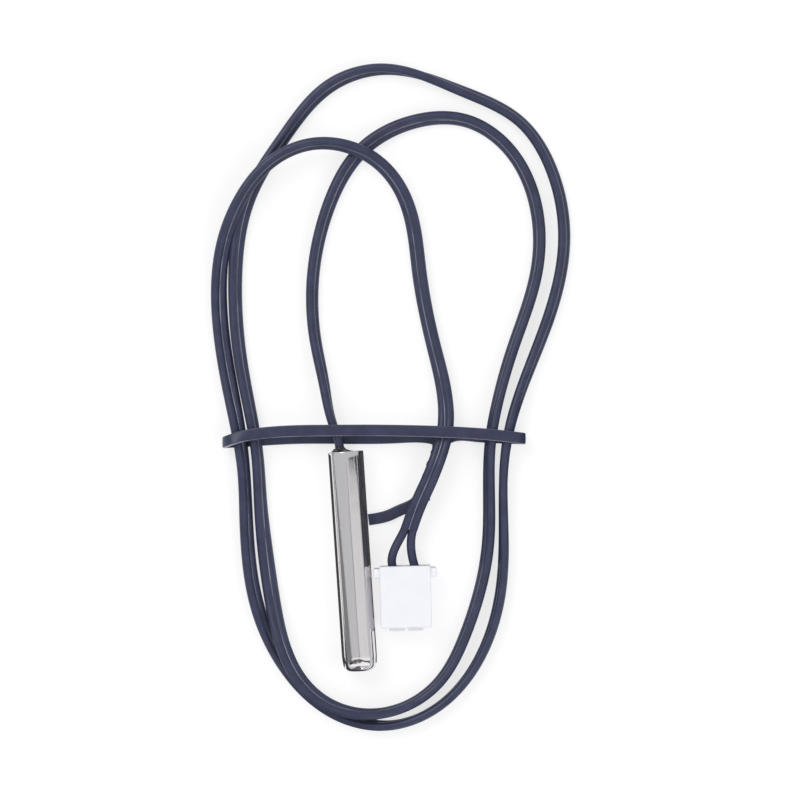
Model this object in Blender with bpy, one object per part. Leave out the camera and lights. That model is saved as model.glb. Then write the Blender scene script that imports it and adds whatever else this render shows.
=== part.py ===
"""A temperature probe with its lead looped and tied.

A bead thermistor is potted in a deep-drawn steel sleeve. Its flat two-core lead lies in three loops on the
table, is held by a wire tie, and ends in a white crimp plug with 2.5 mm between its two ways.

Metres, +Z up. The sleeve lies along Y with its closed tip at -Y, and everything rests on z = 0. The origin
is under the middle of the potted sleeve.
"""

import math

import bmesh
import bpy
import numpy as np
from mathutils import Matrix, Vector

MM = 0.001

# Clearance between pieces that touch on the real probe
GAP = 0.05 * MM
CABLE_GAP = 0.1 * MM

# Steel sleeve
SLEEVE_DIAMETER = 4.0 * MM
SLEEVE_LENGTH = 25.0 * MM
SLEEVE_WALL = 0.25 * MM
TIP_CORNER = 0.7 * MM
MOUTH_CORNER = 0.08 * MM

# Potting resin, with the crest that climbs the cable at the mouth
CREST_HEIGHT = 1.0 * MM
CREST_WALL = 0.18 * MM
BEAD_ROOM = 0.15 * MM
TIP_CUSHION = 1.6 * MM

# Bead thermistor and its leads
BEAD_DIAMETER = 1.6 * MM
BEAD_LENGTH = 2.8 * MM
BEAD_LEAD_DIAMETER = 0.25 * MM
BEAD_LEAD_SPREAD = 0.6 * MM

# Soldered joints and the tubes over them
SOLDER_DIAMETER = 0.6 * MM
SOLDER_LENGTH = 1.2 * MM
JOINT_TUBE_BORE = 0.75 * MM
JOINT_TUBE_WALL = 0.15 * MM
JOINT_TUBE_LENGTH = 5.0 * MM

# Cable: the tube stands for a flat pair 2 mm wide and 1.15 mm thick
CABLE_DIAMETER = 1.55 * MM
CABLE_IN_SLEEVE = 6.0 * MM
CABLE_SHIFT = -0.6 * MM
CABLE_SAMPLES = 80
CORE_DIAMETER = 1.0 * MM
CORE_IN_SLEEVE = 2.0 * MM
CORE_SAMPLES = 14
STRAND_DIAMETER = 0.45 * MM
STRAND_LENGTH = 1.5 * MM

# Plug housing
PLUG_PLACE = Vector((5.7 * MM, -4.9 * MM, 0))
PLUG_TURN = math.radians(-2.4)
PITCH = 2.5 * MM
WIRE_LEAN = -0.2 * MM
PLUG_WIDTH = 5.8 * MM
PLUG_LENGTH = 7.0 * MM
PLUG_THICKNESS = 3.9 * MM
PLUG_EDGE = 0.15 * MM
RAIL_WIDTH = 0.8 * MM
RAIL_HEIGHT = 0.45 * MM
KEY_WIDTH = 1.1 * MM
KEY_LENGTH = 2.9 * MM
COLLAR_OVERHANG = 0.68 * MM
COLLAR_HEIGHT = 1.05 * MM
COLLAR_SETBACK = 0.25 * MM
COLLAR_STEP = 0.35 * MM
NOSE_LENGTH = 0.4 * MM
NOSE_WALL = 0.22 * MM
NOSE_SPLIT = 0.25 * MM
TUNNEL_WIDTH = 1.75 * MM
TUNNEL_HEIGHT = 1.95 * MM
TUNNEL_FLOOR = 1.1 * MM
END_WALL = 0.7 * MM
PIN_HOLE = 0.9 * MM
WINDOW_WIDTH = 1.05 * MM
WINDOW_LENGTH = 2.0 * MM
WINDOW_FROM_END = 1.6 * MM

# Crimp terminals, folded from sheet
SHEET = 0.2 * MM
SOCKET_WIDTH = 1.45 * MM
SOCKET_LENGTH = 2.8 * MM
SEAM = 0.12 * MM
STRIP_WIDTH = 0.8 * MM
BARREL_LENGTH = 1.1 * MM
BARREL_SPACE = 0.25 * MM
BARREL_SLIT = 0.25 * MM
STRAND_DROP = 0.2 * MM
LANCE_WIDTH = 0.6 * MM
LANCE_LENGTH = 1.5 * MM
LANCE_ANGLE = math.radians(-22)

# Wire tie: a flat covered wire closed by a twist, one end left long
TIE_PLACE = Vector((3.3 * MM, 13.5 * MM, 0))
TIE_TURN = math.radians(-3.9)
TIE_WIDTH = 1.3 * MM
TIE_THICKNESS = 0.5 * MM
TIE_EDGE = 0.18 * MM
TWIST_TURNS = 1.5
TWIST_STEPS = 24
TIE_SAMPLES = 4
LOOP_FLAT = 15.2 * MM

SLEEVE_SEGMENTS = 48
SMALL_SEGMENTS = 20
ARC_STEPS = 5
FINE_STEPS = 16
STRAIGHT_SHARE = 0.35
SMOOTH_ANGLE = math.radians(35)
SAME_POINT = 1e-7

# Places along the sleeve, from its size
OVERALL_LENGTH = SLEEVE_LENGTH + CREST_HEIGHT
TIP_Y = -OVERALL_LENGTH / 2
MOUTH_Y = TIP_Y + SLEEVE_LENGTH
AXIS_Z = SLEEVE_DIAMETER / 2
BORE_RADIUS = SLEEVE_DIAMETER / 2 - SLEEVE_WALL
BORE_END_Y = TIP_Y + SLEEVE_WALL
CABLE_END_Y = MOUTH_Y - CABLE_IN_SLEEVE
CABLE_HOLE_RADIUS = CABLE_DIAMETER / 2 + CABLE_GAP
CABLE_LEAN = CABLE_SHIFT / CABLE_IN_SLEEVE
CORE_START_Y = CABLE_END_Y - 2 * CABLE_GAP
CORE_END_Y = CORE_START_Y - CORE_IN_SLEEVE
STRAND_END_Y = CORE_END_Y - GAP - STRAND_LENGTH
SOLDER_END_Y = STRAND_END_Y - GAP - SOLDER_LENGTH
LEAD_START_Y = SOLDER_END_Y - GAP
BEAD_END_Y = BORE_END_Y + GAP + TIP_CUSHION + BEAD_ROOM
BEAD_TOP_Y = BEAD_END_Y + BEAD_LENGTH
JOINT_TUBE_START_Y = CORE_END_Y - GAP
JOINT_TUBE_END_Y = JOINT_TUBE_START_Y - JOINT_TUBE_LENGTH
JOINT_TUBE_RADIUS = JOINT_TUBE_BORE / 2 + JOINT_TUBE_WALL
JOINT_OFFSET = max(JOINT_TUBE_RADIUS, CORE_DIAMETER / 2) + GAP / 2

# Places in the plug, from its size. Its own frame has +Y towards the wires.
WIRE_END = PLUG_LENGTH / 2
SOCKET_FLOOR = TUNNEL_FLOOR + GAP
BARREL_RADIUS = CORE_DIAMETER / 2 + GAP + SHEET
STRAND_BARREL_RADIUS = STRAND_DIAMETER / 2 + GAP + SHEET
CORE_Z = SOCKET_FLOOR + BARREL_RADIUS
SOCKET_START = -WIRE_END + END_WALL + 2 * GAP
SOCKET_END = SOCKET_START + SOCKET_LENGTH
STRAND_BARREL_START = SOCKET_END + BARREL_SPACE
STRAND_BARREL_END = STRAND_BARREL_START + BARREL_LENGTH
CORE_BARREL_START = STRAND_BARREL_END + BARREL_SPACE
TERMINAL_END = CORE_BARREL_START + BARREL_LENGTH
WAYS = {"a": -PITCH / 2, "b": PITCH / 2}

# The cable's route beyond the sleeve, in millimetres, chosen by hand along one lead of the looped bundle. It
# leaves the mouth, makes the inner loop, then the outer loop, crosses over itself and comes down to the plug.
CABLE_ROUTE = (
    (-1.3, 15.4, 1.95), (-1.95, 20.0, 1.5), (-2.6, 25.0, 0.95), (-2.5, 31.15, 0.8), (-0.03, 40.05, 0.8),
    (4.22, 46.18, 0.8), (10.31, 48.97, 0.8), (16.31, 48.65, 0.81), (20.9, 45.09, 0.86),
    (23.45, 38.86, 0.9), (23.16, 31.27, 0.9), (19.85, 22.56, 0.99), (17.59, 16.3, 1.37),
    (16.5, 11.88, 1.52), (16.0, 6.76, 1.1), (15.46, 0.35, 0.9), (12.22, -9.68, 0.83), (8.68, -15.1, 0.81),
    (5.47, -17.2, 0.98), (2.21, -17.98, 1.64), (-1.13, -17.72, 2.28), (-4.45, -16.22, 2.42),
    (-7.41, -12.76, 2.4), (-8.74, -9.04, 2.05), (-9.45, -4.67, 1.26), (-9.84, -0.12, 0.95),
    (-10.08, 7.07, 1.03), (-10.07, 12.41, 1.42), (-10.49, 16.84, 1.4), (-11.26, 23.32, 1.05),
    (-11.24, 32.45, 0.99), (-9.27, 41.25, 0.91), (-4.55, 48.26, 0.8), (1.26, 53.84, 0.8),
    (7.27, 55.17, 0.8), (15.8, 52.18, 0.8), (22.4, 48.14, 0.82), (25.72, 41.99, 0.84),
    (26.46, 34.18, 0.9), (24.13, 25.67, 0.9), (20.83, 18.52, 1.06), (18.92, 13.73, 1.49),
    (17.97, 9.7, 1.36), (17.46, 4.08, 1.0), (16.65, -4.56, 0.9), (13.46, -12.81, 0.83),
    (8.81, -17.62, 0.8), (2.76, -19.51, 0.8), (-3.02, -17.74, 0.8), (-8.27, -12.37, 0.8),
    (-11.14, -5.43, 0.88), (-11.84, 5.1, 0.99), (-11.75, 11.13, 1.28), (-12.08, 15.57, 1.47),
    (-12.83, 21.53, 1.12), (-13.28, 29.14, 1.0), (-12.88, 33.83, 1.21), (-11.8, 37.83, 1.93),
    (-9.9, 41.53, 2.39), (-6.48, 45.22, 2.5), (-1.44, 47.11, 2.51), (2.8, 46.45, 2.54),
    (5.75, 44.7, 2.17), (8.01, 41.82, 1.4), (9.23, 38.19, 0.96), (9.75, 31.91, 0.85),
    (10.84, 23.17, 0.95), (11.66, 17.76, 1.35), (11.4, 13.4, 2.0), (10.3, 10.3, 2.65), (9.1, 7.8, 2.65),
    (7.7, 5.2, 2.5), (6.6, 2.7, 2.15),
)

# The tie's loop, in millimetres in its own frame: along the band, across it, and up. It runs from the twist
# to the left under the lead, back over the top, and under the right side to the twist again.
TIE_LOOP = (
    (6.6, -1.2, 0.45), (5.2, -0.6, 0.3), (3.0, -0.3, 0.27), (-3.0, -0.25, 0.26), (-10.0, -0.3, 0.26),
    (-14.9, -0.6, 0.28), (-16.6, -0.7, 0.72), (-16.98, -0.7, 1.65), (-16.5, -0.5, 2.62), (-15.3, -0.1, 2.98),
    (-13.6, 0.25, 3.06), (-10.0, 0.58, 3.15), (-5.0, 0.68, 3.22), (2.0, 0.68, 3.25), (8.0, 0.52, 3.2),
    (12.6, 0.26, 3.08), (15.2, 0.0, 2.98), (16.6, -0.17, 2.6), (17.05, -0.25, 1.65), (16.65, -0.25, 0.7),
    (15.0, -0.2, 0.27), (11.5, 0.0, 0.27), (9.3, 0.05, 0.4), (7.9, -0.7, 0.95),
)
TWIST_START = Vector((7.2, -1.9, 0.9)) * MM
TWIST_END = Vector((5.7, -6.1, 0.9)) * MM
LONG_END = ((4.7, -7.6, 0.7), (3.0, -8.45, 0.3), (1.7, -9.05, 0.26), (-0.6, -9.55, 0.26))
SHORT_END = ((5.74, -6.8, 0.45), (5.78, -7.35, 0.33))


def clear_scene():
    for old in list(bpy.data.objects):
        bpy.data.objects.remove(old, do_unlink=True)


def material(name, colour, roughness, metallic=0.0):
    made = bpy.data.materials.new(name)
    made.use_nodes = True
    shader = made.node_tree.nodes["Principled BSDF"]
    shader.inputs["Base Color"].default_value = (*colour, 1)
    shader.inputs["Roughness"].default_value = roughness
    shader.inputs["Metallic"].default_value = metallic
    made.diffuse_color = (*colour, 1)
    return made


def add_object(name, data, finish):
    made = bpy.data.objects.new(name, data)
    data.materials.append(finish)
    bpy.context.scene.collection.objects.link(made)
    return made


def add_mesh(name, bm, finish):
    """A named object from a bmesh, its faces turned outwards and its round stretches shaded smooth."""
    bmesh.ops.recalc_face_normals(bm, faces=bm.faces)
    mesh = bpy.data.meshes.new(name)
    bm.to_mesh(mesh)
    bm.free()
    mesh.shade_smooth()
    mesh.set_sharp_from_angle(angle=SMOOTH_ANGLE)
    return add_object(name, mesh, finish)


def arc(centre, radius, start, end, steps=ARC_STEPS):
    """Points (across, along) on an arc, its angles in degrees."""
    angles = np.radians(np.linspace(start, end, steps + 1))
    return [(centre[0] + radius * math.cos(a), centre[1] + radius * math.sin(a)) for a in angles]


def turned(name, profile, finish, segments, place=(0, 0, 0), closed=False):
    """A solid turned about Y from (radius, y) points. An open profile starts and ends on the axis."""
    bm = bmesh.new()
    verts = [bm.verts.new((radius, y, 0)) for radius, y in profile]
    pairs = list(zip(verts, verts[1:]))
    if closed:
        pairs.append((verts[-1], verts[0]))
    edges = [bm.edges.new(pair) for pair in pairs]
    axis = {"cent": (0, 0, 0), "axis": (0, 1, 0), "angle": math.tau}
    bmesh.ops.spin(bm, geom=verts + edges, steps=segments, use_merge=True, **axis)
    bmesh.ops.remove_doubles(bm, verts=bm.verts, dist=SAME_POINT)
    made = add_mesh(name, bm, finish)
    made.location = place
    return made


def fine_curve(points, per_span):
    """Closely spaced points on the natural cubic spline through the given points."""
    given = np.array(points, float)
    spans = np.linalg.norm(np.diff(given, axis=0), axis=1)
    last = len(given) - 1
    matrix = np.eye(last + 1)
    right = np.zeros_like(given)
    for i in range(1, last):
        matrix[i, i - 1] = spans[i - 1]
        matrix[i, i] = 2 * (spans[i - 1] + spans[i])
        matrix[i, i + 1] = spans[i]
        right[i] = 6 * ((given[i + 1] - given[i]) / spans[i] - (given[i] - given[i - 1]) / spans[i - 1])
    bend = np.linalg.solve(matrix, right)
    found = []
    for at in np.linspace(0, last, last * per_span + 1):
        i = min(int(at), last - 1)
        b = at - i
        a = 1 - b
        straight = a * given[i] + b * given[i + 1]
        curved = (a**3 - a) * bend[i] + (b**3 - b) * bend[i + 1]
        found.append(straight + curved * spans[i] ** 2 / 6)
    return np.array(found)


def smooth_curve(points, count):
    """Count points on the smooth curve through the given points, closer together where it bends more."""
    fine = fine_curve(points, FINE_STEPS)
    steps = np.diff(fine, axis=0)
    lengths = np.linalg.norm(steps, axis=1)
    ways = steps / lengths[:, None]
    turns = np.linalg.norm(np.diff(ways, axis=0), axis=1)
    turns = np.append(turns, turns[-1])
    effort = np.sqrt(turns * lengths) + STRAIGHT_SHARE * np.sqrt(turns.sum() / lengths.sum()) * lengths
    reached = np.concatenate([[0], np.cumsum(effort)])
    wanted = np.linspace(0, reached[-1], count)
    return [Vector(place) for place in zip(*(np.interp(wanted, reached, axis) for axis in fine.T))]


def tube(name, points, diameter, finish):
    """A round tube with flat ends along the points."""
    curve = bpy.data.curves.new(name, "CURVE")
    curve.dimensions = "3D"
    curve.bevel_depth = diameter / 2
    curve.bevel_resolution = 2
    curve.use_fill_caps = True
    spline = curve.splines.new("POLY")
    spline.points.add(len(points) - 1)
    for knot, point in zip(spline.points, points):
        knot.co = (*point, 1)
    return add_object(name, curve, finish)


def block(name, low, high, edge=0.0):
    """A bmesh box between two corners, with its edges rounded."""
    bm = bmesh.new()
    bmesh.ops.create_cube(bm, size=1)
    size = Vector(high) - Vector(low)
    middle = (Vector(high) + Vector(low)) / 2
    bmesh.ops.transform(bm, matrix=Matrix.Translation(middle) @ Matrix.Diagonal((*size, 1)), verts=bm.verts)
    if edge:
        bmesh.ops.bevel(bm, geom=bm.edges, offset=edge, segments=2, profile=0.5, affect="EDGES")
    return bm


def prism(outline, start, end):
    """A bmesh with an (x, z) outline drawn out along Y."""
    bm = bmesh.new()
    face = bm.faces.new([bm.verts.new((x, start, z)) for x, z in outline])
    drawn = bmesh.ops.extrude_face_region(bm, geom=[face])["geom"]
    moved = [v for v in drawn if isinstance(v, bmesh.types.BMVert)]
    bmesh.ops.translate(bm, vec=(0, end - start, 0), verts=moved)
    return bm


def hide(made):
    made.hide_render = True
    made.display_type = "WIRE"
    return made


def helper(name, bm, finish, parent):
    """A hidden body that another one is joined with or cut by."""
    made = hide(add_mesh(name, bm, finish))
    made.parent = parent
    return made


def combine(target, other, operation):
    step = target.modifiers.new(other.name, "BOOLEAN")
    step.operation = operation
    step.object = other
    step.solver = "EXACT"


def make_sleeve(finish):
    """Deep-drawn tube with a flat tip, round tip corners and a soft rim."""
    radius = SLEEVE_DIAMETER / 2
    inner_corner = TIP_CORNER - SLEEVE_WALL
    profile = [(0, TIP_Y)]
    profile += arc((radius - TIP_CORNER, TIP_Y + TIP_CORNER), TIP_CORNER, -90, 0)
    profile += arc((radius - MOUTH_CORNER, MOUTH_Y - MOUTH_CORNER), MOUTH_CORNER, 0, 90, 2)
    profile += arc((BORE_RADIUS + MOUTH_CORNER, MOUTH_Y - MOUTH_CORNER), MOUTH_CORNER, 90, 180, 2)
    profile += arc((BORE_RADIUS - inner_corner, BORE_END_Y + inner_corner), inner_corner, 0, -90)
    profile += [(0, BORE_END_Y)]
    return turned("sensor_sleeve", profile, finish, SLEEVE_SEGMENTS, (0, 0, AXIS_Z))


def make_resin(finish):
    """Resin that fills the sleeve round the bead, the joints and the cable's end, and climbs the cable where
    it leaves to one side."""
    radius = BORE_RADIUS - GAP
    corner = TIP_CORNER - SLEEVE_WALL
    bottom = BORE_END_Y + GAP
    crest = CABLE_HOLE_RADIUS + CREST_WALL
    rise = radius - crest
    profile = [(0, bottom)]
    profile += arc((radius - corner, bottom + corner), corner, -90, 0)
    profile += [(radius, MOUTH_Y)]
    profile += arc((radius, MOUTH_Y + CREST_HEIGHT), rise, 250, 190, 4)
    profile += [(crest, MOUTH_Y + CREST_HEIGHT), (0, MOUTH_Y + CREST_HEIGHT)]
    resin = turned("potting_resin", profile, finish, SLEEVE_SEGMENTS, (0, 0, AXIS_Z))
    top_shift = CABLE_SHIFT + CABLE_LEAN * CREST_HEIGHT
    for vert in resin.data.vertices:
        share = max(0, vert.co.y - MOUTH_Y) / CREST_HEIGHT
        vert.co.x += top_shift * math.sqrt(share)

    lead_half = BEAD_LEAD_DIAMETER / 2 + CABLE_GAP
    bead_room = BEAD_DIAMETER / 2 + BEAD_ROOM
    profile = [(0, JOINT_TUBE_END_Y + GAP), (JOINT_OFFSET + lead_half, JOINT_TUBE_END_Y + GAP)]
    profile += [(JOINT_OFFSET + lead_half, JOINT_TUBE_END_Y - CABLE_GAP)]
    profile += [(BEAD_LEAD_SPREAD / 2 + lead_half, lead_bend_y() - CABLE_GAP)]
    profile += [(BEAD_LEAD_SPREAD / 2 + lead_half, BEAD_TOP_Y + bead_room), (bead_room, BEAD_TOP_Y)]
    profile += arc((0, BEAD_END_Y - BEAD_ROOM + bead_room), bead_room, 0, -90)
    cutters = [turned("bead room", profile, finish, SMALL_SEGMENTS, (0, 0, AXIS_Z))]

    joint_half = max(JOINT_TUBE_RADIUS, CORE_DIAMETER / 2) + GAP
    profile = [(0, CABLE_END_Y), (joint_half, CABLE_END_Y), (joint_half, JOINT_TUBE_END_Y - GAP)]
    profile += [(0, JOINT_TUBE_END_Y - GAP)]
    for name, x in (("joint room a", -JOINT_OFFSET), ("joint room b", JOINT_OFFSET)):
        cutters.append(turned(name, profile, finish, SMALL_SEGMENTS, (x, 0, AXIS_Z)))

    hole_ends = (-CABLE_GAP, CABLE_IN_SLEEVE + 2 * CREST_HEIGHT)
    profile = [(0, hole_ends[0])] + [(CABLE_HOLE_RADIUS, end) for end in hole_ends] + [(0, hole_ends[1])]
    hole = turned("cable hole", profile, finish, SLEEVE_SEGMENTS, (0, CABLE_END_Y, AXIS_Z))
    hole.rotation_euler.z = -math.atan(CABLE_LEAN)
    for cutter in cutters + [hole]:
        combine(resin, hide(cutter), "DIFFERENCE")


def lead_bend_y():
    """Where the leads stop closing in from the joints and run straight to the bead."""
    near = BEAD_TOP_Y + GAP
    return near + (JOINT_TUBE_END_Y - near) / 3


def make_bead(finish):
    """The dipped bead: a drop whose neck points at its leads."""
    radius = BEAD_DIAMETER / 2
    neck = BEAD_LEAD_SPREAD / 2 + BEAD_LEAD_DIAMETER
    profile = arc((0, BEAD_END_Y + radius), radius, -90, 20)
    profile += [(neck, BEAD_TOP_Y), (0, BEAD_TOP_Y)]
    return turned("thermistor_bead", profile, finish, SMALL_SEGMENTS, (0, 0, AXIS_Z))


def make_sleeve_wiring(finishes):
    """For each way, from the bead to the cable: lead, solder, bared strands, insulated core, joint tube."""
    half_bore = JOINT_TUBE_BORE / 2
    for way, side in (("a", -1), ("b", 1)):
        x = side * JOINT_OFFSET
        near_bead = side * BEAD_LEAD_SPREAD / 2
        route = ((x, LEAD_START_Y), (x, JOINT_TUBE_END_Y))
        route += ((near_bead, lead_bend_y()), (near_bead, BEAD_TOP_Y + GAP))
        lead = [(across, along, AXIS_Z) for across, along in route]
        tube(f"bead_lead_{way}", lead, BEAD_LEAD_DIAMETER, finishes["tinned wire"])
        solder = SOLDER_DIAMETER / 2
        ends = (SOLDER_END_Y, STRAND_END_Y - GAP)
        profile = [(0, ends[0]), (solder / 2, ends[0])]
        profile += [(solder, ends[0] + solder / 2), (solder, ends[1] - solder / 2)]
        profile += [(solder / 2, ends[1]), (0, ends[1])]
        turned(f"solder_joint_{way}", profile, finishes["solder"], SMALL_SEGMENTS, (x, 0, AXIS_Z))
        strands = [(x, STRAND_END_Y, AXIS_Z), (x, CORE_END_Y - GAP, AXIS_Z)]
        tube(f"sleeve_strands_{way}", strands, STRAND_DIAMETER, finishes["copper"])
        core = [(x, CORE_END_Y, AXIS_Z), (x, CORE_START_Y, AXIS_Z)]
        tube(f"sleeve_core_{way}", core, CORE_DIAMETER, finishes["core"])
        profile = [(half_bore, JOINT_TUBE_START_Y), (half_bore, JOINT_TUBE_END_Y)]
        profile += [(JOINT_TUBE_RADIUS, JOINT_TUBE_END_Y), (JOINT_TUBE_RADIUS, JOINT_TUBE_START_Y)]
        place = (x, 0, AXIS_Z)
        turned(f"joint_tube_{way}", profile, finishes["tubing"], SMALL_SEGMENTS, place, closed=True)


def cable_points():
    """The route, with its straight start inside the sleeve."""
    reaches = (0, CABLE_IN_SLEEVE / 2, CABLE_IN_SLEEVE, CABLE_IN_SLEEVE + CREST_HEIGHT)
    start = [Vector((CABLE_LEAN * reach, CABLE_END_Y + reach, AXIS_Z)) for reach in reaches]
    return start + [Vector(point) * MM for point in CABLE_ROUTE]


def make_cable(finish):
    return tube("cable", smooth_curve(cable_points(), CABLE_SAMPLES), CABLE_DIAMETER, finish)


def plug_matrix():
    return Matrix.Translation(PLUG_PLACE) @ Matrix.Rotation(PLUG_TURN, 4, "Z")


def make_plug_wires(finishes):
    """The two cores split at the cable's end and run into the plug, where their bared strands are crimped."""
    before, end = cable_points()[-2:]
    along = (end - before).normalized()
    side = Vector((-along.y, along.x, 0)).normalized() * (CORE_DIAMETER / 2 + GAP)
    frame = plug_matrix()
    for way, x in WAYS.items():
        leave = end + along * CABLE_GAP + (side if x > 0 else -side)
        enter = frame @ Vector((x + WIRE_LEAN, WIRE_END, CORE_Z))
        gripped = frame @ Vector((x, TERMINAL_END, CORE_Z))
        core_end = frame @ Vector((x, CORE_BARREL_START - GAP, CORE_Z))
        points = smooth_curve([leave, leave + along * MM / 2, enter, gripped], CORE_SAMPLES)
        tube(f"plug_core_{way}", points + [core_end], CORE_DIAMETER, finishes["core"])
        low = Vector((x, 0, CORE_Z - STRAND_DROP))
        ends = [CORE_BARREL_START - 2 * GAP, CORE_BARREL_START - 2 * GAP - STRAND_LENGTH]
        strands = [frame @ (low + Vector((0, y, 0))) for y in ends]
        tube(f"plug_strands_{way}", strands, STRAND_DIAMETER, finishes["copper"])


def make_plug_housing(finish, frame):
    """Moulded body with a pull collar, side rails and a key underneath, and for each way a nose, a tunnel, a
    pin hole and a window for the terminal's lance."""
    half = PLUG_WIDTH / 2
    body = block("body", (-half, -WIRE_END, RAIL_HEIGHT), (half, WIRE_END, PLUG_THICKNESS), PLUG_EDGE)
    housing = add_mesh("plug_housing", body, finish)
    housing.parent = frame

    collar_top = WIRE_END - COLLAR_SETBACK
    collar_low = (-half - COLLAR_OVERHANG, collar_top - COLLAR_HEIGHT, 0)
    collar_high = (half + COLLAR_OVERHANG, collar_top, PLUG_THICKNESS - COLLAR_STEP)
    added = {"collar": block("collar", collar_low, collar_high, PLUG_EDGE)}
    for name, side in (("left", -1), ("right", 1)):
        inner = side * (half - RAIL_WIDTH)
        outer = side * (half - 2 * PLUG_EDGE / 3)
        low = (min(inner, outer), -WIRE_END + PLUG_EDGE, 0)
        high = (max(inner, outer), collar_top - COLLAR_HEIGHT / 2, RAIL_HEIGHT + PLUG_EDGE)
        added[f"{name} rail"] = block("rail", low, high, PLUG_EDGE / 2)
    key_low = (-KEY_WIDTH / 2, collar_top - COLLAR_HEIGHT / 2 - KEY_LENGTH, 0)
    key_high = (KEY_WIDTH / 2, collar_top - COLLAR_HEIGHT / 2, RAIL_HEIGHT + PLUG_EDGE)
    added["key"] = block("key", key_low, key_high, PLUG_EDGE / 2)
    pin_z = SOCKET_FLOOR + SOCKET_WIDTH / 2
    nose_depth = PIN_HOLE / 2 + 3 * NOSE_WALL
    for name, side in (("left", -1), ("right", 1)):
        inner = side * NOSE_SPLIT / 2
        outer = side * (PITCH / 2 + PIN_HOLE / 2 + NOSE_WALL)
        low = (min(inner, outer), -WIRE_END - NOSE_LENGTH, pin_z - nose_depth)
        high = (max(inner, outer), -WIRE_END + END_WALL / 2, pin_z + nose_depth)
        added[f"{name} nose"] = block("nose", low, high, PLUG_EDGE / 2)
    for name, bm in added.items():
        combine(housing, helper(f"{name} form", bm, finish, frame), "UNION")

    for way, x in WAYS.items():
        wall_y = -WIRE_END + END_WALL
        tunnel_low = (x - TUNNEL_WIDTH / 2, wall_y, TUNNEL_FLOOR)
        tunnel_high = (x + TUNNEL_WIDTH / 2, WIRE_END + END_WALL, TUNNEL_FLOOR + TUNNEL_HEIGHT)
        hole = PIN_HOLE / 2
        hole_low = (x - hole, -WIRE_END - 2 * NOSE_LENGTH, pin_z - hole)
        hole_high = (x + hole, wall_y + END_WALL, pin_z + hole)
        window_start = -WIRE_END + WINDOW_FROM_END
        window_low = (x - WINDOW_WIDTH / 2, window_start, -RAIL_HEIGHT)
        window_top = TUNNEL_FLOOR + TUNNEL_HEIGHT / 2
        window_high = (x + WINDOW_WIDTH / 2, window_start + WINDOW_LENGTH, window_top)
        cuts = {
            "tunnel": (tunnel_low, tunnel_high),
            "pin hole": (hole_low, hole_high),
            "window": (window_low, window_high),
        }
        for name, (low, high) in cuts.items():
            combine(housing, helper(f"{name} {way}", block(name, low, high), finish, frame), "DIFFERENCE")
    return housing


def ring_outline(x, z, outer):
    """A rolled sheet ring, open at the top by a slit, as (x, z) points."""
    inner = outer - SHEET
    opening = math.degrees(math.asin(BARREL_SLIT / 2 / inner))
    outside = arc((x, z), outer, 90 + opening, 450 - opening, SMALL_SEGMENTS)
    inside = arc((x, z), inner, 450 - opening, 90 + opening, SMALL_SEGMENTS)
    return outside + inside


def socket_outline(x):
    """A square tube folded from sheet, open along a seam at the top, as (x, z) points."""
    low = SOCKET_FLOOR
    top = SOCKET_FLOOR + SOCKET_WIDTH
    half = SOCKET_WIDTH / 2
    hollow = half - SHEET
    seam = SEAM / 2
    outside = [(-seam, top), (-half, top), (-half, low), (half, low), (half, top), (seam, top)]
    inside = [(seam, top - SHEET), (hollow, top - SHEET), (hollow, low + SHEET), (-hollow, low + SHEET)]
    inside += [(-hollow, top - SHEET), (-seam, top - SHEET)]
    return [(x + across, up) for across, up in outside + inside]


def make_terminals(finish, frame):
    """Each terminal is one folded strip: a square socket with a locking lance, and two rolled barrels."""
    for way, x in WAYS.items():
        socket = prism(socket_outline(x), SOCKET_START, SOCKET_END)
        terminal = add_mesh(f"crimp_terminal_{way}", socket, finish)
        terminal.parent = frame
        low_z = CORE_Z - STRAND_DROP
        strand_barrel = ring_outline(x, low_z, STRAND_BARREL_RADIUS)
        core_barrel = ring_outline(x, CORE_Z, BARREL_RADIUS)
        strip_low = (x - STRIP_WIDTH / 2, SOCKET_START + SHEET, SOCKET_FLOOR - GAP / 5)
        strip_high = (x + STRIP_WIDTH / 2, TERMINAL_END - SHEET, SOCKET_FLOOR + 0.9 * SHEET)
        lance = block("lance", (-LANCE_WIDTH / 2, 0, -SHEET), (LANCE_WIDTH / 2, LANCE_LENGTH, 0))
        lance_y = SOCKET_START + SOCKET_LENGTH / 4
        seat = Matrix.Translation((x, lance_y, SOCKET_FLOOR + 0.9 * SHEET))
        bmesh.ops.transform(lance, matrix=seat @ Matrix.Rotation(LANCE_ANGLE, 4, "X"), verts=lance.verts)
        added = {
            "strand barrel": prism(strand_barrel, STRAND_BARREL_START, STRAND_BARREL_END),
            "core barrel": prism(core_barrel, CORE_BARREL_START, TERMINAL_END),
            "strip": block("strip", strip_low, strip_high),
            "lance": lance,
        }
        for name, bm in added.items():
            combine(terminal, helper(f"{name} {way}", bm, finish, frame), "UNION")


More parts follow.
